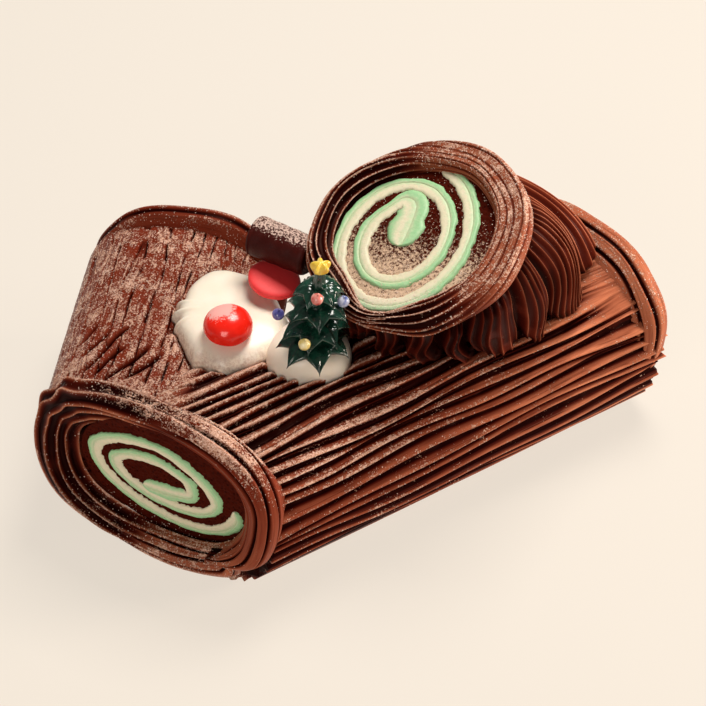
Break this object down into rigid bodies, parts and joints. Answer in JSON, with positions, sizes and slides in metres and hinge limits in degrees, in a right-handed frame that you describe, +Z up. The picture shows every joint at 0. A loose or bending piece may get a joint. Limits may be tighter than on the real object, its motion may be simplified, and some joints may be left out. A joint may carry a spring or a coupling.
{
  "type": "yule log cake",
  "caption": "A forked chocolate log cake with combed buttercream, a slanted show cut, a side branch, a leaning stump and small toppings.",
  "frame": {"origin": "on the flat foot of the main log, under its axis, on the table it stands on", "axes": "+X runs along the main log away from its show cut, -Y is its near side, +Z is up"},
  "size_m": [0.2498, 0.1739, 0.1327],
  "materials": {
    "buttercream": "combed chocolate buttercream, satin, dusted with icing sugar",
    "sponge": "open chocolate sponge crumb, matt",
    "cream": "smooth white cream",
    "mint": "smooth pale green mint cream",
    "icing": "poured white icing, soft gloss",
    "red_candy": "glossy red candy with a frosted cap",
    "red_sugar": "matt red sugar paste",
    "dark_chocolate": "dark chocolate, dusted with sugar",
    "fir_green": "glossy moulded green plastic",
    "yellow": "glossy moulded yellow plastic",
    "bauble_red": "glossy paint",
    "bauble_blue": "glossy paint",
    "bauble_silver": "glossy paint",
    "bauble_gold": "glossy paint"
  },
  "bodies": {
    "root": {"log_frosting": "buttercream", "branch_frosting": "buttercream", "stump_frosting": "buttercream", "front_collar": "buttercream", "end_collar": "buttercream", "branch_collar": "buttercream", "stump_collar": "buttercream", "log_sponge": "sponge", "branch_sponge": "sponge", "stump_sponge": "sponge", "log_cream": "cream", "branch_cream": "cream", "stump_cream": "cream", "log_mint": "mint", "branch_mint": "mint", "stump_mint": "mint", "icing_puddle": "icing", "tree_icing": "icing", "red_candy": "red_candy", "red_disc": "red_sugar", "chocolate_roll": "dark_chocolate", "fir_tree": "fir_green", "tree_star": "yellow", "bauble_red": "bauble_red", "bauble_blue": "bauble_blue", "bauble_silver": "bauble_silver", "bauble_gold": "bauble_gold"}
  },
  "joints": []
}
